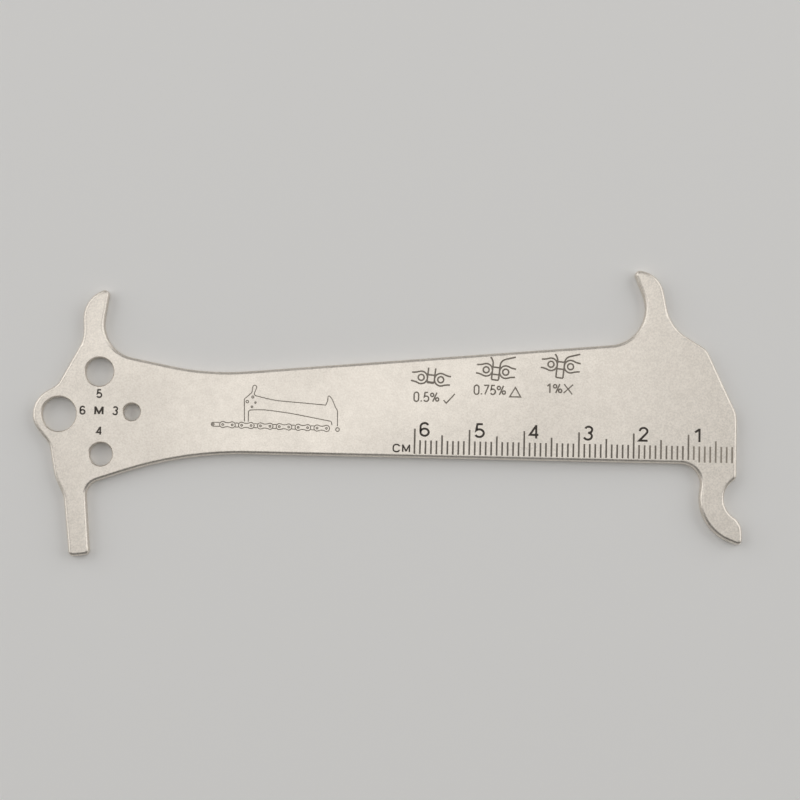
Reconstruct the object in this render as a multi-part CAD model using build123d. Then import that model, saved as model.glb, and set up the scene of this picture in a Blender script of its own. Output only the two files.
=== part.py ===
# Chain wear gauge: one flat steel plate with a roller seat at one end and a probe leg at the other.
# The foot hooks over one chain roller, and the leg drops between rollers as far as wear allows.
# Sizes are in millimetres. X runs along the ruler edge, Y points away from the chain and Z is the
# thickness. The plate is drawn from the centre of the roller that sits in the foot, and at the end
# it is moved so that its origin is the bottom centre of its own box.
import math
import os
from collections import namedtuple

from build123d import *

# Bicycle chain that the gauge measures
CHAIN_PITCH = 12.7
PITCHES_SPANNED = 10
ROLLER_DIAMETER = 7.75
WEAR_AT_LEG_TIP = 0.005
WEAR_AT_LEG_SHOULDER = 0.010

# Plate and its edges
THICKNESS = 2.0
FACE_EDGE_ROUND = 0.6
BACK_EDGE_ROUND = 0.3
HOLE_EDGE_BREAK = 0.15
POINT_RADIUS = 0.8

# Blade between the two ends
RULER_EDGE_HEIGHT = 6.2
WAIST_WIDTH = 14.5
TAPER_ANGLE = 5.4
WAIST_FROM_LEG = 25.8
UPPER_WAIST_RADIUS = 49.0
LOWER_FLARE_FROM_LEG = 21.9
LOWER_FLARE_RADIUS = 70.0

# Foot that holds the first roller
SEAT_CLEARANCE = 0.1
SEAT_RUN_OUT = 0.2
FOOT_THICKNESS = 4.4
FOOT_ROOT_SETBACK = 7.5
FOOT_ROOT_RADIUS = 3.7
FOOT_TIP_SETBACK = 0.6
FOOT_TIP_DROP = 0.35
FOOT_NOSE_ANGLE = 57.0
FOOT_NOSE_RADIUS = 3.4
SEAT_LIP_RADIUS = 1.3

# Square end above the foot
END_SETBACK = 1.7
END_HEIGHT = 15.4
END_CORNER_RADIUS = 4.3
SHOULDER_SETBACK = 7.3
SHOULDER_HEIGHT = 27.2
SHOULDER_RADIUS = 3.0

# Hook on the upper edge, over the foot
HOOK_BACK_SETBACK = 14.0
HOOK_BACK_HEIGHT = 31.2
HOOK_BACK_RADIUS = 8.0
HOOK_CROWN_SETBACK = 16.05
HOOK_CROWN_HEIGHT = 41.0
HOOK_CROWN_RADIUS = 4.8
HOOK_TIP_SETBACK = 21.1
HOOK_TIP_HEIGHT = 41.75
HOOK_THROAT_SETBACK = 15.5
HOOK_THROAT_RADIUS = 6.9

# Probe leg that drops between the far rollers
LEG_REACH = 13.2
LEG_TIP_WIDTH = 3.7
LEG_TIP_CORNER_RADIUS = 0.9
LEG_ROOT_WIDTH = 3.8
LEG_ROOT_RADIUS = 2.8
LEG_SHOULDER_DEPTH = 2.2
LEG_SHOULDER_RADIUS = 5.0
HIP_OVERHANG = 1.8
HIP_HEIGHT = 1.3
HIP_RADIUS = 9.4

# Spike on the upper edge, over the leg, placed from the leg's measuring edge
SPIKE_TIP_OFFSET = 7.25
SPIKE_TIP_HEIGHT = 36.2
SPIKE_CROWN_OFFSET = 2.3
SPIKE_CROWN_HEIGHT = 34.25
SPIKE_CROWN_RADIUS = 5.5
SPIKE_BACK_OFFSET = 2.7
SPIKE_BACK_HEIGHT = 26.7
SPIKE_BACK_RADIUS = 5.7
SPIKE_THROAT_OFFSET = 5.55
SPIKE_THROAT_HEIGHT = 24.6
SPIKE_THROAT_RADIUS = 6.4

# Gauge holes for M3 to M6 screws, set in a cross that is square to the middle of the taper
HOLE_DIAMETERS = {"m3": 3.2, "m4": 4.3, "m5": 5.3, "m6": 6.4}
CROSS_OFFSET = 6.15
CROSS_HEIGHT = 13.15
CROSS_ARM = 7.55
CROSS_SHORT_ARM = 5.8

# Boss round the M6 hole
BOSS_WALL = 1.6
BOSS_TOP_SETBACK = 0.4
BOSS_TOP_RISE = 0.6
BOSS_TOP_RADIUS = 2.8
BOSS_FOOT_SETBACK = 1.5
BOSS_FOOT_DROP = 0.8
BOSS_FOOT_RADIUS = 2.9

# A fillet takes at most this share of a side, and an edge round this share of the tightest corner
FILLET_SHARE = 0.98
EDGE_ROUND_SHARE = 0.88

SEAT_RADIUS = ROLLER_DIAMETER / 2 + SEAT_CLEARANCE

# A station of the outline is either a round about a centre, positive where the plate is inside it,
# or a sharp corner, with a round of zero and the fillet that softens it.
Station = namedtuple("Station", "centre round fillet")


def round_about(centre, radius):
    return Station(centre, radius, 0.0)


def corner(x, y, fillet):
    return Station(Vector(x, y), 0.0, fillet)


def leg_contact(wear, depth):
    """X of the leg's measuring edge where it meets the far roller of a chain worn by that share."""
    reach = CHAIN_PITCH * PITCHES_SPANNED * (1 + wear) - ROLLER_DIAMETER / 2
    return -math.sqrt(reach**2 - depth**2)


LEG_X = leg_contact(WEAR_AT_LEG_SHOULDER, LEG_SHOULDER_DEPTH)


def upper_edge_height(x):
    """Height of the straight upper edge, which leans away from the ruler edge by the taper."""
    waist_x = LEG_X + WAIST_FROM_LEG
    return RULER_EDGE_HEIGHT + WAIST_WIDTH + (x - waist_x) * math.tan(math.radians(TAPER_ANGLE))


def hole_centres():
    """Centres of the gauge holes, on the arms of a cross turned by half the taper."""
    lean = math.radians(TAPER_ANGLE / 2)
    along = Vector(math.cos(lean), math.sin(lean))
    across = Vector(-math.sin(lean), math.cos(lean))
    middle = Vector(LEG_X + CROSS_OFFSET, CROSS_HEIGHT)
    return {
        "m3": middle + along * CROSS_SHORT_ARM,
        "m4": middle - across * CROSS_ARM,
        "m5": middle + across * CROSS_ARM,
        "m6": middle - along * CROSS_ARM,
    }


def leg_stations():
    """Shoulder, two tip corners and root of the leg, whose outer edge is the measuring edge."""
    shoulder = Vector(LEG_X, -LEG_SHOULDER_DEPTH)
    outer_tip = Vector(leg_contact(WEAR_AT_LEG_TIP, LEG_REACH), -LEG_REACH)
    down = (outer_tip - shoulder).normalized()
    inner_tip = outer_tip + Vector(-down.Y, down.X) * LEG_TIP_WIDTH
    return [
        corner(shoulder.X, shoulder.Y, LEG_SHOULDER_RADIUS),
        corner(outer_tip.X, outer_tip.Y, LEG_TIP_CORNER_RADIUS),
        corner(inner_tip.X, inner_tip.Y, LEG_TIP_CORNER_RADIUS),
        corner(LEG_X + LEG_ROOT_WIDTH, 0, LEG_ROOT_RADIUS),
    ]


def ruler_edge_stations():
    """Lower flare beside the leg and the fillet beside the foot, with the ruler edge between."""
    return [
        corner(LEG_X + LOWER_FLARE_FROM_LEG, RULER_EDGE_HEIGHT, LOWER_FLARE_RADIUS),
        corner(-FOOT_ROOT_SETBACK, RULER_EDGE_HEIGHT, FOOT_ROOT_RADIUS),
    ]


def beside_seat(radius):
    """Distance from the roller to a round that the seat runs out into by a short straight."""
    return math.hypot(SEAT_RADIUS + radius, SEAT_RUN_OUT)


def foot_stations():
    """Back and tip of the foot, then its nose, the roller seat and the lip above the seat."""
    roller = Vector(0, 0)
    back_radius = SEAT_RADIUS + FOOT_THICKNESS
    below = math.radians(180 + FOOT_NOSE_ANGLE)
    nose_centre = Vector(math.cos(below), math.sin(below)) * beside_seat(FOOT_NOSE_RADIUS)
    lip_x = -END_SETBACK - SEAT_LIP_RADIUS
    lip_centre = Vector(lip_x, math.sqrt(beside_seat(SEAT_LIP_RADIUS) ** 2 - lip_x**2))
    return [
        round_about(roller, back_radius),
        corner(-FOOT_TIP_SETBACK, -back_radius - FOOT_TIP_DROP, POINT_RADIUS),
        round_about(nose_centre, FOOT_NOSE_RADIUS),
        round_about(roller, -SEAT_RADIUS),
        round_about(lip_centre, SEAT_LIP_RADIUS),
    ]


def hook_stations():
    """Square end and shoulder, then the hook up its back, over its tip and down its throat."""
    throat_x = -HOOK_THROAT_SETBACK
    return [
        corner(-END_SETBACK, END_HEIGHT, END_CORNER_RADIUS),
        corner(-SHOULDER_SETBACK, SHOULDER_HEIGHT, SHOULDER_RADIUS),
        corner(-HOOK_BACK_SETBACK, HOOK_BACK_HEIGHT, HOOK_BACK_RADIUS),
        corner(-HOOK_CROWN_SETBACK, HOOK_CROWN_HEIGHT, HOOK_CROWN_RADIUS),
        corner(-HOOK_TIP_SETBACK, HOOK_TIP_HEIGHT, POINT_RADIUS),
        corner(throat_x, upper_edge_height(throat_x), HOOK_THROAT_RADIUS),
    ]


def spike_stations():
    """Waist on the upper edge, then the spike up its throat, over its tip and down its back."""
    waist_x = LEG_X + WAIST_FROM_LEG
    return [
        corner(waist_x, upper_edge_height(waist_x), UPPER_WAIST_RADIUS),
        corner(LEG_X + SPIKE_THROAT_OFFSET, SPIKE_THROAT_HEIGHT, SPIKE_THROAT_RADIUS),
        corner(LEG_X + SPIKE_TIP_OFFSET, SPIKE_TIP_HEIGHT, POINT_RADIUS),
        corner(LEG_X + SPIKE_CROWN_OFFSET, SPIKE_CROWN_HEIGHT, SPIKE_CROWN_RADIUS),
        corner(LEG_X + SPIKE_BACK_OFFSET, SPIKE_BACK_HEIGHT, SPIKE_BACK_RADIUS),
    ]


def boss_stations():
    """Boss concentric with the M6 hole, eased into the spike above and the leg's hip below."""
    centre = hole_centres()["m6"]
    radius = HOLE_DIAMETERS["m6"] / 2 + BOSS_WALL
    return [
        corner(centre.X - BOSS_TOP_SETBACK, centre.Y + radius + BOSS_TOP_RISE, BOSS_TOP_RADIUS),
        round_about(centre, radius),
        corner(centre.X - BOSS_FOOT_SETBACK, centre.Y - radius - BOSS_FOOT_DROP, BOSS_FOOT_RADIUS),
        corner(LEG_X - HIP_OVERHANG, HIP_HEIGHT, HIP_RADIUS),
    ]


def outward(heading):
    """Unit vector to the right of a heading, which is out of a plate walked round anticlockwise."""
    return Vector(math.sin(heading), -math.cos(heading))


def side_between(start, end):
    """Heading and two ends of the straight side that touches both stations."""
    across = end.centre - start.centre
    lead = math.asin((start.round - end.round) / across.length)
    heading = math.atan2(across.Y, across.X) + lead
    out = outward(heading)
    return heading, start.centre + out * start.round, end.centre + out * end.round


def fillet_reaches(stations, sides, turns):
    """Length that each corner's fillet takes of its two sides, eased where a side is too short."""
    wanted = [abs(s.fillet * math.tan(turn / 2)) for s, turn in zip(stations, turns)]
    crowding = []
    for index, (_, start, end) in enumerate(sides):
        both = wanted[index] + wanted[(index + 1) % len(stations)]
        crowding.append(both / (FILLET_SHARE * (end - start).length))
    return [reach / max(1.0, crowding[i - 1], crowding[i]) for i, reach in enumerate(wanted)]


def outline_face(stations):
    """Closed face whose sides and arcs run tangent to one another through the stations."""
    count = len(stations)
    sides = [side_between(stations[i], stations[(i + 1) % count]) for i in range(count)]
    turns = [math.remainder(sides[i][0] - sides[i - 1][0], 2 * math.pi) for i in range(count)]
    reaches = fillet_reaches(stations, sides, turns)
    edges = []
    for index, (station, turn, reach) in enumerate(zip(stations, turns, reaches)):
        heading_in, _, arrival = sides[index - 1]
        heading_out, departure, next_arrival = sides[index]
        forward = Vector(math.cos(heading_out), math.sin(heading_out))
        arc_start = arrival - Vector(math.cos(heading_in), math.sin(heading_in)) * reach
        arc_end = departure + forward * reach
        radius = station.round or reach / math.tan(turn / 2)
        arc_centre = arc_start - outward(heading_in) * radius
        arc_middle = arc_centre + outward(heading_in + turn / 2) * radius
        edges.append(Edge.make_three_point_arc(arc_start, arc_middle, arc_end))
        side_end = next_arrival - forward * reaches[(index + 1) % count]
        edges.append(Edge.make_line(arc_end, side_end))
    return Face(Wire(edges))


def rounded_blank(face):
    """Plate cut from the face, with its outer edges rounded more on the marked side."""
    blank = extrude(face, amount=THICKNESS)
    tightest = min(edge.radius for edge in face.edges() if edge.geom_type == GeomType.CIRCLE)
    largest_round = EDGE_ROUND_SHARE * min(tightest, THICKNESS / 2)
    for side, size in ((-1, FACE_EDGE_ROUND), (0, BACK_EDGE_ROUND)):
        rim = blank.faces().sort_by(Axis.Z)[side].edges()
        blank = fillet(rim, min(size, largest_round))
    return blank


def drilled(plate):
    """Plate with the gauge holes cut through and their edges broken on both sides."""
    for name, centre in hole_centres().items():
        hole = Cylinder(HOLE_DIAMETERS[name] / 2, THICKNESS, align=(Align.CENTER, Align.CENTER, Align.MIN))
        plate -= Pos(centre.X, centre.Y, 0) * hole
    faces = plate.faces().sort_by(Axis.Z)
    hole_edges = [wire.edges() for face in (faces[0], faces[-1]) for wire in face.inner_wires()]
    return chamfer(sum(hole_edges, []), HOLE_EDGE_BREAK)


def centred(plate):
    """Plate moved so that the origin is the bottom centre of its box."""
    box = plate.bounding_box()
    middle = box.center()
    return Pos(-middle.X, -middle.Y, -box.min.Z) * plate


stations = (
    leg_stations()
    + ruler_edge_stations()
    + foot_stations()
    + hook_stations()
    + spike_stations()
    + boss_stations()
)
gauge_plate = centred(drilled(rounded_blank(outline_face(stations))))

os.makedirs("parts", exist_ok=True)
export_step(gauge_plate, "parts/gauge_plate.step")
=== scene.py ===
import math

import bmesh
import bpy
from mathutils import Matrix, Vector


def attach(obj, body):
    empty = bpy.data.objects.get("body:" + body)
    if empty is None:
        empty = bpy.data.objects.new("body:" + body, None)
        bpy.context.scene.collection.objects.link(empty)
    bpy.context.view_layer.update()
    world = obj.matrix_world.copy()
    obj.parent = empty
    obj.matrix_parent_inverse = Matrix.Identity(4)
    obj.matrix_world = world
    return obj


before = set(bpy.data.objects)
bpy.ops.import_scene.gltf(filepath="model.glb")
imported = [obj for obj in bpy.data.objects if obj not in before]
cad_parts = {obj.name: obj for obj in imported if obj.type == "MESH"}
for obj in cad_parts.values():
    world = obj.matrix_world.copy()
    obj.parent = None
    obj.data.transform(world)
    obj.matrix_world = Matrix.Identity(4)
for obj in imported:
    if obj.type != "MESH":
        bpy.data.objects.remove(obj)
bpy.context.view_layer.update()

# Camera
# Held by hand almost straight above the gauge, a little on the ruler edge's side and turned by about
# a degree. The distance and the lens give the gauge its share of a square picture.
MM = 0.001
VIEW_CENTRE = (2.16, 2.52, 1.18)
VIEW_DISTANCE = 340.0
VIEW_LEAN = 4.0
VIEW_TURN = 1.27
SENSOR_WIDTH = 36.0
LENS = 83.46
CLIP_START = 0.01
CLIP_END = 10.0

camera_data = bpy.data.cameras.new("view_camera")
camera_data.sensor_width = SENSOR_WIDTH
camera_data.lens = LENS
camera_data.clip_start = CLIP_START
camera_data.clip_end = CLIP_END
camera = bpy.data.objects.new("view_camera", camera_data)
bpy.context.scene.collection.objects.link(camera)
bpy.context.scene.camera = camera
view_turned = (Matrix.Rotation(math.radians(VIEW_LEAN), 4, "X")
               @ Matrix.Rotation(math.radians(VIEW_TURN), 4, "Z"))
camera.matrix_world = (Matrix.Translation(Vector(VIEW_CENTRE) * MM) @ view_turned
                       @ Matrix.Translation((0, 0, VIEW_DISTANCE * MM)))


# Gauge plate
# One plate of stainless steel, cut to its outline in one go and tumbled in stone until its rims are
# round and its faces satin. The walls keep faint upright lines from the cut.
STEEL_COLOUR = (0.89, 0.826, 0.742, 1)
STEEL_SHADE = (0.72, 0.668, 0.598, 1)
SATIN_ROUGHNESS = (0.30, 0.42)
RIM_ROUGHNESS = 0.34
MID_LEVEL = 1.0
RIM_STARTS = 0.40
RIM_ENDS = 0.97
GRAIN_PER_METRE = 3200
PITS_PER_METRE = 800
CLOUDS_PER_METRE = 55
CUT_LINE_STRETCH = (1.0, 1.0, 0.04)
PITS_IN_CLOUDS = 0.5
GRAIN_IN_TONE = 0.6
TONE_SPAN = (0.40, 0.60)
GRAIN_IN_SATIN = 0.45
SATIN_SPAN = (0.35, 0.65)
RELIEF_STRENGTH = 0.25
RELIEF_DEPTH = 0.04


def add_node(tree, kind, settings=None, **inputs):
    """An input goes by its name, or by i and its number where the names repeat."""
    made = tree.nodes.new(kind)
    for name, value in (settings or {}).items():
        setattr(made, name, value)
    for name, value in inputs.items():
        socket = made.inputs[int(name[1:])] if name[1:].isdigit() else made.inputs[name.replace("_", " ")]
        if isinstance(value, bpy.types.NodeSocket):
            tree.links.new(value, socket)
        else:
            socket.default_value = value
    return made


def start_finish(name):
    finish = bpy.data.materials.new(name)
    finish.use_nodes = True
    shader = finish.node_tree.nodes["Principled BSDF"]
    place = add_node(finish.node_tree, "ShaderNodeTexCoord").outputs["Object"]
    return finish, finish.node_tree, shader, place


def noise(tree, place, per_metre, detail, stretch=None):
    if stretch:
        place = add_node(tree, "ShaderNodeMapping", Vector=place, Scale=stretch).outputs["Vector"]
    made = add_node(tree, "ShaderNodeTexNoise", Vector=place, Scale=per_metre, Detail=detail)
    return made.outputs["Fac"]


def spread(tree, value, low, high, to_low=0.0, to_high=1.0):
    made = add_node(tree, "ShaderNodeMapRange", i0=value, i1=low, i2=high, i3=to_low, i4=to_high)
    return made.outputs["Result"]


def blend_colour(tree, share, first, second):
    made = add_node(tree, "ShaderNodeMix", {"data_type": "RGBA"}, i0=share, i6=first, i7=second)
    return made.outputs[2]


def blend_value(tree, share, first, second):
    return add_node(tree, "ShaderNodeMix", i0=share, i2=first, i3=second).outputs[0]


def bump(tree, height, strength, depth):
    made = add_node(tree, "ShaderNodeBump", Height=height, Strength=strength, Distance=depth)
    return made.outputs["Normal"]


satin_steel, tree, shader, place = start_finish("satin_steel")
height = add_node(tree, "ShaderNodeSeparateXYZ", Vector=place).outputs["Z"]
above_middle = add_node(tree, "ShaderNodeMath", {"operation": "SUBTRACT"}, i0=height, i1=MID_LEVEL * MM)
from_middle = add_node(tree, "ShaderNodeMath", {"operation": "ABSOLUTE"}, i0=above_middle.outputs[0])
on_face = spread(tree, from_middle.outputs[0], RIM_STARTS * MM, RIM_ENDS * MM)
clouds = noise(tree, place, CLOUDS_PER_METRE, 4.0)
grain = noise(tree, place, GRAIN_PER_METRE, 2.0)
pits = noise(tree, place, PITS_PER_METRE, 2.0)
cut_lines = noise(tree, place, GRAIN_PER_METRE, 1.0, CUT_LINE_STRETCH)
mottled = blend_value(tree, GRAIN_IN_TONE, blend_value(tree, PITS_IN_CLOUDS, clouds, pits), grain)
tone = blend_colour(tree, spread(tree, mottled, *TONE_SPAN), STEEL_SHADE, STEEL_COLOUR)
satin = spread(tree, blend_value(tree, GRAIN_IN_SATIN, clouds, grain), *SATIN_SPAN, *SATIN_ROUGHNESS)
tree.links.new(tone, shader.inputs["Base Color"])
tree.links.new(blend_value(tree, on_face, RIM_ROUGHNESS, satin), shader.inputs["Roughness"])
relief = blend_value(tree, on_face, cut_lines, grain)
tree.links.new(bump(tree, relief, RELIEF_STRENGTH, RELIEF_DEPTH * MM), shader.inputs["Normal"])
shader.inputs["Metallic"].default_value = 1.0

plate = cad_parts["gauge_plate"]
plate.data.materials.clear()
plate.data.materials.append(satin_steel)


# Ruler
# Six centimetres of ticks and numbers along the ruler edge, burnt into the face by laser. They count
# from the foot's end towards the leg. The ticks stop just short of the rounded rim, a little lower
# where they stand over the foot. In the last two centimetres they are painted paler, a painted sheen
# for light mirrored off the burn there.
FACE_LEVEL = 2.0
MARK_PROUD = 0.008
MARK_SUNK = 0.03
HAIR = 0.0005
HAIR_LEVELS = 7
DEEP_BURN = ((0.052, 0.043, 0.035, 1), (0.085, 0.072, 0.060, 1))
LIGHT_BURN = ((0.150, 0.130, 0.108, 1), (0.235, 0.207, 0.175, 1))
# The faint burn is the real faint burn of the pictures and captions. On the ticks from one to two centimetres
# it is also a painted sheen.
FAINT_BURN = ((0.195, 0.168, 0.138, 1), (0.305, 0.268, 0.226, 1))
# Painted sheen: the palest burn, for the ticks of the last centimetre, stands in for light mirrored off them.
SHEEN_PALED_BURN = ((0.275, 0.238, 0.195, 1), (0.420, 0.370, 0.312, 1))
SPECKS_PER_METRE = 7000
PATCHES_PER_METRE = 500
PATCHES_IN_SPECKS = 0.5
BURN_SPAN = (0.35, 0.65)
BURN_ROUGHNESS_SPAN = (0.3, 0.7)
BURN_ROUGHNESS = (0.42, 0.62)
BURN_METAL = 0.6
BURN_RELIEF_STRENGTH = 0.3
BURN_RELIEF_DEPTH = 0.03
RULER_MIDDLE = 30.00
RULER_NUMBERS = 6
CENTIMETRE = 10.0
TICKS_PER_CENTIMETRE = 10
TICKS_PER_HALF = 5
FIRST_TICK = 2
TICK_FOOT = -7.32
TICK_FOOT_AT_END = -7.75
LONGER_TICKS_FROM = 56.5
TICK_WIDTH = 0.32
CENTIMETRE_TOP = -2.72
HALF_TOP = -3.82
TICK_TOP = -4.82
NUMBER_HEIGHT = 2.40
NUMBER_WIDE = 1.16
NUMBER_PEN = 0.39
NUMBER_BESIDE = 1.78
NUMBER_LEVEL = -2.84
UNIT_HEIGHT = 1.34
UNIT_WIDE = 1.20
UNIT_GAP = 0.34
UNIT_PEN = 0.27
UNIT_PLACE = (2.60, -6.34)
LETTER_GAP = 0.30
BEND_STEP = 12
FEWEST_STEPS = 3

# Each letter is drawn one unit high with a round pen: its width, then its lines, each with a start,
# a heading in degrees, and runs. A run is a length, or a bend of (radius, turn), left turns positive.
LETTERS = {
    "0": (0.52, [((0, 0.26), 90, 0.48, (0.26, -180), 0.48, (0.26, -180))]),
    "1": (0.52, [((0.34, 0), 90, 1.03), ((0.33, 0.96), 218, 0.36)]),
    "2": (0.52, [((0.01, 0.74), 90, (0.25, -220), 0.73, (0, 130), 0.55)]),
    "3": (0.52, [((0.03, 0.84), 70, (0.23, -245), 0.04), ((0.20, 0.53), 0, (0.262, -250))]),
    "4": (0.56, [((0.42, 0), 90, 1.03), ((0.41, 0.98), 240.1, 0.81, (0, 119.9), 0.56)]),
    "5": (0.53, [((0.49, 1.0), 180, 0.36, (0, 81.7), 0.485, (0, 143.3), (0.29, -285))]),
    "6": (0.54, [((0.49, 0.83), 105, (0.22, 75), (0.2775, 90), 0.42, (0.27, 352))]),
    "7": (0.52, [((0, 1.0), 0, 0.52, (0, -113), 1.08)]),
    "%": (0.98, [((0.38, 0.74), 90, (0.18, 360)), ((0.96, 0.26), 90, (0.18, 360)), ((0.74, 1.0), 245, 1.1)]),
    ".": (0.16, [((0.08, -0.02), 90, 0.15)]),
    "C": (0.74, [((0.718, 0.757), 110, (0.37, 160), 0.26, (0.37, 160))]),
    "M": (0.76, [((0, 0), 90, 1.0), ((0, 0.97), -66, 0.98), ((0.76, 0.97), 246, 0.98), ((0.76, 0), 90, 1.0)]),
}


def laser_mark(name, burn):
    finish, tree, shader, place = start_finish(name)
    specks = noise(tree, place, SPECKS_PER_METRE, 2.0)
    patches = noise(tree, place, PATCHES_PER_METRE, 2.0)
    patchy = blend_value(tree, PATCHES_IN_SPECKS, specks, patches)
    colour = blend_colour(tree, spread(tree, patchy, *BURN_SPAN), *burn)
    roughness = spread(tree, patchy, *BURN_ROUGHNESS_SPAN, *BURN_ROUGHNESS)
    relief = bump(tree, patchy, BURN_RELIEF_STRENGTH, BURN_RELIEF_DEPTH * MM)
    tree.links.new(colour, shader.inputs["Base Color"])
    tree.links.new(roughness, shader.inputs["Roughness"])
    tree.links.new(relief, shader.inputs["Normal"])
    shader.inputs["Metallic"].default_value = BURN_METAL
    return finish


def burn_in(name, shape, finish):
    bmesh.ops.recalc_face_normals(shape, faces=shape.faces)
    mesh = bpy.data.meshes.new(name)
    shape.to_mesh(mesh)
    shape.free()
    mesh.materials.append(finish)
    piece = bpy.data.objects.new(name, mesh)
    bpy.context.scene.collection.objects.link(piece)
    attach(piece, "root")
    return piece


def pen_height(drawing):
    """Lines in one drawing lie a hair apart in height, so where two cross their tops don't share a face."""
    return FACE_LEVEL - MARK_SUNK + HAIR * (len(drawing.verts) % HAIR_LEVELS)


def draw_line(drawing, start, heading, *runs):
    """A turn without a radius is a sharp corner."""
    tip = drawing.verts.new(Vector((*start, pen_height(drawing))) * MM)
    for run in runs:
        radius, turn = run if isinstance(run, tuple) else (0, 0)
        side = Matrix.Rotation(math.radians(heading + math.copysign(90, turn)), 3, "Z")
        if radius:
            bend = bmesh.ops.spin(drawing, geom=[tip], cent=tip.co + side @ Vector((radius * MM, 0, 0)),
                                  axis=(0, 0, 1), space=Matrix(), angle=math.radians(turn),
                                  steps=max(FEWEST_STEPS, math.ceil(abs(turn) / BEND_STEP)))
            tip = bend["geom_last"][0]
        elif not turn:
            ahead = Matrix.Rotation(math.radians(heading), 3, "Z") @ Vector((run * MM, 0, 0))
            tip = bmesh.ops.extrude_vert_indiv(drawing, verts=[tip])["verts"][0]
            bmesh.ops.translate(drawing, verts=[tip], vec=ahead)
        heading += turn


def sized(run, height):
    return (run[0] * height, run[1]) if isinstance(run, tuple) else run * height


def write(drawing, words, height, middle, wide, gap=LETTER_GAP):
    """Letters are drawn about the middle at their own width, then widened or narrowed there."""
    before = len(drawing.verts)
    length = sum(LETTERS[letter][0] + gap for letter in words) - gap
    left = middle[0] - length * height / 2
    foot = middle[1] - height / 2
    for letter in words:
        width, lines = LETTERS[letter]
        for start, heading, *runs in lines:
            corner = (left + start[0] * height, foot + start[1] * height)
            draw_line(drawing, corner, heading, *[sized(run, height) for run in runs])
        left += (width + gap) * height
    bmesh.ops.scale(drawing, verts=list(drawing.verts)[before:], vec=(wide, 1, 1),
                    space=Matrix.Translation(Vector((-middle[0], 0, 0)) * MM))


def thicken(name, drawing, pen, finish, proud=MARK_PROUD):
    """Raise the drawn lines into walls from below the face, as wide as the pen."""
    bmesh.ops.remove_doubles(drawing, verts=drawing.verts, dist=HAIR / 4 * MM)
    walls = bmesh.ops.extrude_edge_only(drawing, edges=drawing.edges)["geom"]
    tops = [part for part in walls if isinstance(part, bmesh.types.BMVert)]
    bmesh.ops.translate(drawing, verts=tops, vec=(0, 0, (proud + MARK_SUNK) * MM))
    piece = burn_in(name, drawing, finish)
    stroke = piece.modifiers.new("pen_width", "SOLIDIFY")
    stroke.thickness = pen * MM
    stroke.offset = 0.0
    stroke.use_even_offset = True
    return piece


deep_burn = laser_mark("deep_burn", DEEP_BURN)
light_burn = laser_mark("light_burn", LIGHT_BURN)
faint_burn = laser_mark("faint_burn", FAINT_BURN)
sheen_paled_burn = laser_mark("sheen_paled_burn", SHEEN_PALED_BURN)


def tick_top(count):
    if count % TICKS_PER_CENTIMETRE == 0:
        return CENTIMETRE_TOP
    if count % TICKS_PER_HALF == 0:
        return HALF_TOP
    return TICK_TOP


def ruler_place(centimetres):
    """X of a reading. The ruler is placed by the middle of its numbers."""
    return RULER_MIDDLE + ((RULER_NUMBERS + 1) / 2 - centimetres) * CENTIMETRE


def rule_ticks(name, counts, finish):
    ticks = bmesh.new()
    for count in counts:
        top = tick_top(count)
        x = ruler_place(count / TICKS_PER_CENTIMETRE)
        foot = TICK_FOOT_AT_END if x > LONGER_TICKS_FROM else TICK_FOOT
        middle = (x, (top + foot) / 2, FACE_LEVEL + (MARK_PROUD - MARK_SUNK) / 2)
        size = (TICK_WIDTH, top - foot, MARK_PROUD + MARK_SUNK, 1)
        bmesh.ops.create_cube(ticks, size=MM, matrix=Matrix.Translation(Vector(middle) * MM)
                              @ Matrix.Diagonal(size))
    burn_in(name, ticks, finish)


at_one = TICKS_PER_CENTIMETRE
at_two = 2 * TICKS_PER_CENTIMETRE
at_last = RULER_NUMBERS * TICKS_PER_CENTIMETRE
rule_ticks("ruler_ticks", range(at_two, at_last + 1), light_burn)
# Painted sheen: the ticks from one to two centimetres get the faint burn colour, standing in for light
# mirrored off them.
rule_ticks("ruler_ticks_sheen_paled", range(at_one, at_two), faint_burn)
# Painted sheen: the ticks of the last centimetre get the palest burn colour, standing in for light mirrored
# off them.
rule_ticks("ruler_ticks_end", range(FIRST_TICK, at_one), sheen_paled_burn)

numbers = bmesh.new()
for number in range(1, RULER_NUMBERS + 1):
    beside_tick = (ruler_place(number) + NUMBER_BESIDE, NUMBER_LEVEL)
    write(numbers, str(number), NUMBER_HEIGHT, beside_tick, NUMBER_WIDE)
thicken("ruler_numbers", numbers, NUMBER_PEN, deep_burn)
unit = bmesh.new()
write(unit, "CM", UNIT_HEIGHT, UNIT_PLACE, UNIT_WIDE, UNIT_GAP)
thicken("ruler_unit", unit, UNIT_PEN, deep_burn)


# Hole labels
# The four holes pass screws of 3, 4, 5 and 6 mm, and each has its number beside it, round an M in
# the middle of the cross. They are burnt in as the ruler is.
LABEL_HEIGHT = 1.42
LABEL_WIDE = 1.07
LABEL_PEN = 0.29
LABELS = {"5": (-52.87, 2.41), "6": (-55.80, -0.70), "3": (-49.77, -0.65), "4": (-52.66, -4.38)}
LABEL_M_PLACE = (-52.80, -0.66)
LABEL_M_WIDE = 1.26
LABEL_M_PEN = 0.36

labels = bmesh.new()
for words, middle in LABELS.items():
    write(labels, words, LABEL_HEIGHT, middle, LABEL_WIDE)
thicken("hole_labels", labels, LABEL_PEN, deep_burn)
screw_letter = bmesh.new()
write(screw_letter, "M", LABEL_HEIGHT, LABEL_M_PLACE, LABEL_M_WIDE)
thicken("hole_label_m", screw_letter, LABEL_M_PEN, deep_burn)


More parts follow.
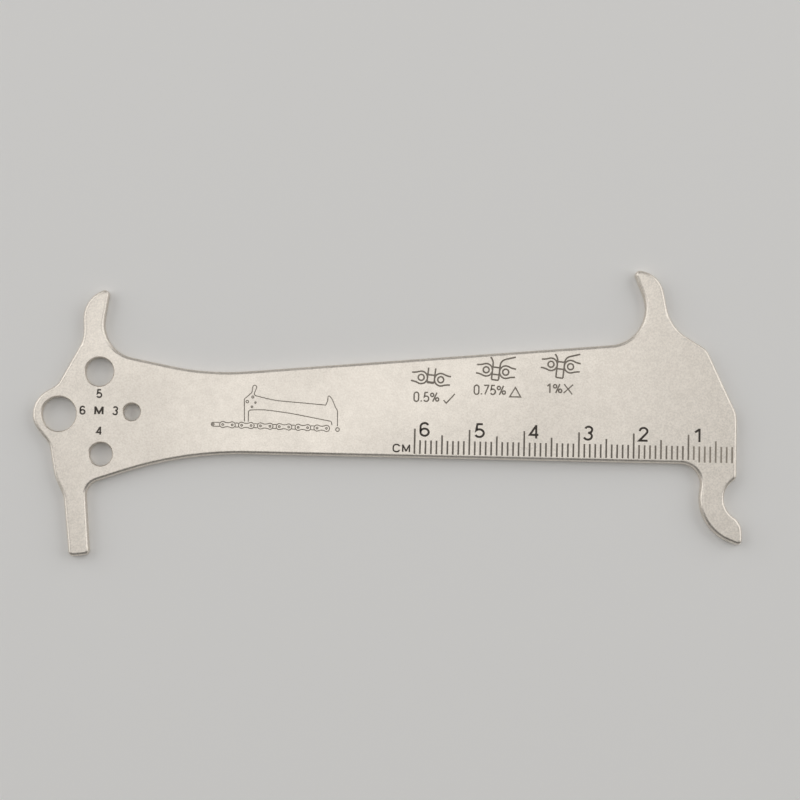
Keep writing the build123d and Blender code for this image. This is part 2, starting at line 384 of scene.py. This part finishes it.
# Wear pictures
# Three small line drawings of the probe leg between two rollers of a chain. The more the chain is
# worn, the deeper the leg drops. They are burnt in more faintly than the ruler.
LINE_PEN = 0.30
PICTURE_TURN = -5.7
LINK_END = 1.15
LINK_WAIST = 0.77
ROLLER_RING = 0.55
RING_SIDES = 20
ROLLER_APART = 3.6
INNER_WAIST = 0.66
LEG_HALF = ROLLER_APART / 2 - LINK_END
LEG_CORNER = 0.2
LEG_TOP = 1.95
SHOULDER_RIGHT = ((1.3, -71), 1.9)
SHOULDER_LEFT = (1.8, 48)

# A picture has a middle, how deep its leg drops, and the height of its shoulder, where it shows one.
PICTURES = {
    "picture_one": ((7.74, 6.52), 0.80, None),
    "picture_two": ((19.61, 8.18), 1.66, 1.10),
    "picture_three": ((31.46, 9.45), 2.28, 0.62),
}


def draw_ring(drawing, middle, radius, sides=RING_SIDES):
    spot = Matrix.Translation(Vector((*middle, pen_height(drawing))) * MM)
    bmesh.ops.create_circle(drawing, cap_ends=False, radius=radius * MM, segments=sides, matrix=spot)


def turn_into_place(drawing, middle, turn):
    bmesh.ops.rotate(drawing, verts=drawing.verts, cent=Vector((0, 0, 0)),
                     matrix=Matrix.Rotation(math.radians(turn), 3, "Z"))
    bmesh.ops.translate(drawing, verts=drawing.verts, vec=Vector((*middle, 0)) * MM)


def waist_bend(end, waist, half_pitch):
    """The radius of the hollow side of a link plate, and where it leaves the round end."""
    radius = (half_pitch ** 2 + waist ** 2 - end ** 2) / (2 * (end - waist))
    return radius, math.degrees(math.atan2(waist + radius, half_pitch))


reach = ROLLER_APART / 2
waist_radius, lean = waist_bend(LINK_END, LINK_WAIST, reach)
for name, (middle, leg_depth, shoulder) in PICTURES.items():
    picture = bmesh.new()
    for side in (-1, 1):
        waist = (waist_radius, -side * (90 - lean))
        draw_line(picture, (side * 2 * reach, LINK_WAIST), 90 + 90 * side, waist,
                  (LINK_END, side * (360 - 2 * lean)), waist)
        draw_ring(picture, (side * reach, 0), ROLLER_RING)
    for level in (-INNER_WAIST, INNER_WAIST):
        draw_line(picture, (-LEG_HALF, level), 0, 2 * LEG_HALF)
    top = LEG_TOP if shoulder is None else shoulder
    down = top + leg_depth - LEG_CORNER
    corner = (LEG_CORNER, 90)
    upper_right = () if shoulder is None else SHOULDER_RIGHT
    draw_line(picture, (-LEG_HALF, top), -90, down, corner, 2 * (LEG_HALF - LEG_CORNER), corner, down,
              *upper_right)
    if shoulder is not None:
        draw_line(picture, (-LEG_HALF, top), 90, SHOULDER_LEFT)
    turn_into_place(picture, middle, PICTURE_TURN)
    thicken(name, picture, LINE_PEN, faint_burn)


# Wear captions
# How far the chain has stretched is burnt in below each picture, with a tick where it is still good,
# a triangle where it is time to change it, and a cross where it has gone too far.
CAPTION_HEIGHT = 1.68
CAPTION_PEN = 0.27
CAPTION_WIDE = 0.95
CAPTION_GAP = 0.22
CAPTIONS = {"0.5%": (7.00, 3.12), "0.75%": (18.58, 4.66), "1%": (30.36, 5.20)}
GOOD_TICK = ((10.13, 2.63), -50, 0.75, (0, 98), 2.35)
CHANGE_TRIANGLE = ((23.21, 3.50), 0, 1.0, (0, 120), 2.0, (0, 120), 2.0, (0, 120), 1.0)
WORN_CROSS = (((32.13, 6.04), -51, 2.40), ((33.76, 5.98), 223, 2.35))
SIGN_PEN = 0.24

captions = bmesh.new()
for words, middle in CAPTIONS.items():
    write(captions, words, CAPTION_HEIGHT, middle, CAPTION_WIDE, CAPTION_GAP)
thicken("wear_captions", captions, CAPTION_PEN, faint_burn)

signs = bmesh.new()
for line in (GOOD_TICK, CHANGE_TRIANGLE, *WORN_CROSS):
    draw_line(signs, *line)
thicken("wear_signs", signs, SIGN_PEN, faint_burn)


# Drawing of the gauge in use
# Fine lines show the whole gauge laid on a chain, its seat on one roller and its leg ten pitches
# away. They are burnt in with a finer line than the rest.
FINE_PEN = 0.17
SMALL_PITCH = 1.724
SMALL_ROLLERS = 13
SMALL_END = 0.56
SMALL_WAIST = 0.36
SMALL_RING = 0.17
SMALL_RING_SIDES = 10
ROW_START = (-31.84, -2.72)
ROW_TURN = -0.86

# The gauge is drawn as two lines for its outline, and rings given by their middle and radius.
LEG_TO_FOOT = ((-26.16, -2.10), 92, 4.0, (0.25, -50), 1.55, (0.4, 40), 0.9, (0.36, -194), 0.95, (0.4, 99),
               2.15, (16, 9), 8.1, (0.2, 70), 0.55, (0.8, 20), 0.6, (0.2, -136), 0.4, (1.6, -17), 1.35,
               (0.6, 12), 0.4, (0.7, -34), 2.65)
FOOT_TO_LEG = ((-10.17, -2.40), 102, 0.55, (0.2, 68), 5.7, (60, 3.5), 1.75, (16, 10), 0.85, (0.45, 87), 1.7)
FOOT_RING = ((-9.14, -3.20), 0.34)
FOOT_RING_SIDES = 12
HOLE_RINGS = (((-24.77, 2.41), 0.20), ((-25.75, 1.55), 0.24), ((-24.25, 1.40), 0.14), ((-24.87, 0.62), 0.17))
GAUGE_OVER_CHAIN = 0.004

row = bmesh.new()
waist_radius, lean = waist_bend(SMALL_END, SMALL_WAIST, SMALL_PITCH / 2)
waist = (waist_radius, -(90 - lean))
end = (SMALL_END, 360 - 2 * lean)
for count in range(SMALL_ROLLERS):
    draw_ring(row, (count * SMALL_PITCH, 0), SMALL_RING, SMALL_RING_SIDES)
for count in range(1, SMALL_ROLLERS, 2):
    draw_line(row, ((count + 0.5) * SMALL_PITCH, -SMALL_WAIST), 0, waist, end, waist, waist, end, waist)
for count in range(0, SMALL_ROLLERS - 1, 2):
    for level in (-SMALL_WAIST, SMALL_WAIST):
        draw_line(row, (count * SMALL_PITCH + SMALL_END, level), 0, SMALL_PITCH - 2 * SMALL_END)
draw_line(row, (SMALL_END, SMALL_WAIST), 180, SMALL_END, (SMALL_WAIST, 180), SMALL_END)
turn_into_place(row, ROW_START, ROW_TURN)
thicken("use_chain", row, FINE_PEN, faint_burn)

gauge = bmesh.new()
draw_line(gauge, *LEG_TO_FOOT)
draw_line(gauge, *FOOT_TO_LEG)
draw_ring(gauge, *FOOT_RING, FOOT_RING_SIDES)
for middle, radius in HOLE_RINGS:
    draw_ring(gauge, middle, radius, SMALL_RING_SIDES)
thicken("use_gauge", gauge, FINE_PEN, faint_burn, MARK_PROUD + GAUGE_OVER_CHAIN)


# Floor and light
# A plain pale table top under the gauge in a dim room. A soft box overhead is mirrored in the satin
# face and fades towards its ends, while boxes at both sides light the table but miss the face. Low
# strips at the back and in front keep the face from going dark where it is seen at a slant.
FLOOR_COLOUR = (0.93, 0.92, 0.90, 1)
FLOOR_ROUGHNESS = 0.8
FLOOR_GAP = 0.02
FLOOR_REACH = 8.0
ROOM_COLOUR = (1.0, 0.99, 0.97, 1)
ROOM_RADIANCE = 0.14

# A soft box has a width and a depth in metres, a brightness, and a place.
SOFT_BOXES = {
    "ceiling_light": (1.10, 0.80, 0.50, (0.02, 0.13, 1.2)),
    "key_light": (0.44, 0.34, 0.92, (-0.045, 0.12, 0.9)),
    "left_light": (2.0, 1.6, 1.14, (-1.35, 0.5, 0.8)),
    "right_light": (2.0, 1.6, 1.14, (1.35, 0.5, 0.8)),
    "back_light": (2.0, 0.8, 0.30, (0, 1.2, 0.6)),
    "front_light": (2.4, 0.35, 0.40, (0, -1.3, 0.30)),
}

floor_paint, tree, shader, place = start_finish("pale_floor")
shader.inputs["Base Color"].default_value = FLOOR_COLOUR
shader.inputs["Roughness"].default_value = FLOOR_ROUGHNESS
table_top = bmesh.new()
bmesh.ops.create_grid(table_top, x_segments=1, y_segments=1, size=FLOOR_REACH,
                      matrix=Matrix.Translation((0, 0, -FLOOR_GAP * MM)))
mesh = bpy.data.meshes.new("floor")
table_top.to_mesh(mesh)
table_top.free()
mesh.materials.append(floor_paint)
floor = bpy.data.objects.new("floor", mesh)
bpy.context.scene.collection.objects.link(floor)

for name, (width, depth, radiance, spot) in SOFT_BOXES.items():
    light = bpy.data.lights.new(name, "AREA")
    light.shape = "RECTANGLE"
    light.size = width
    light.size_y = depth
    light.energy = radiance * math.pi * width * depth
    lamp = bpy.data.objects.new(name, light)
    lamp.location = spot
    lamp.rotation_euler = (-Vector(spot)).to_track_quat("-Z", "Y").to_euler()
    bpy.context.scene.collection.objects.link(lamp)

room = bpy.data.worlds.new("room")
room.use_nodes = True
room.node_tree.nodes["Background"].inputs["Color"].default_value = ROOM_COLOUR
room.node_tree.nodes["Background"].inputs["Strength"].default_value = ROOM_RADIANCE
bpy.context.scene.world = room
bpy.context.scene.view_settings.view_transform = "Standard"
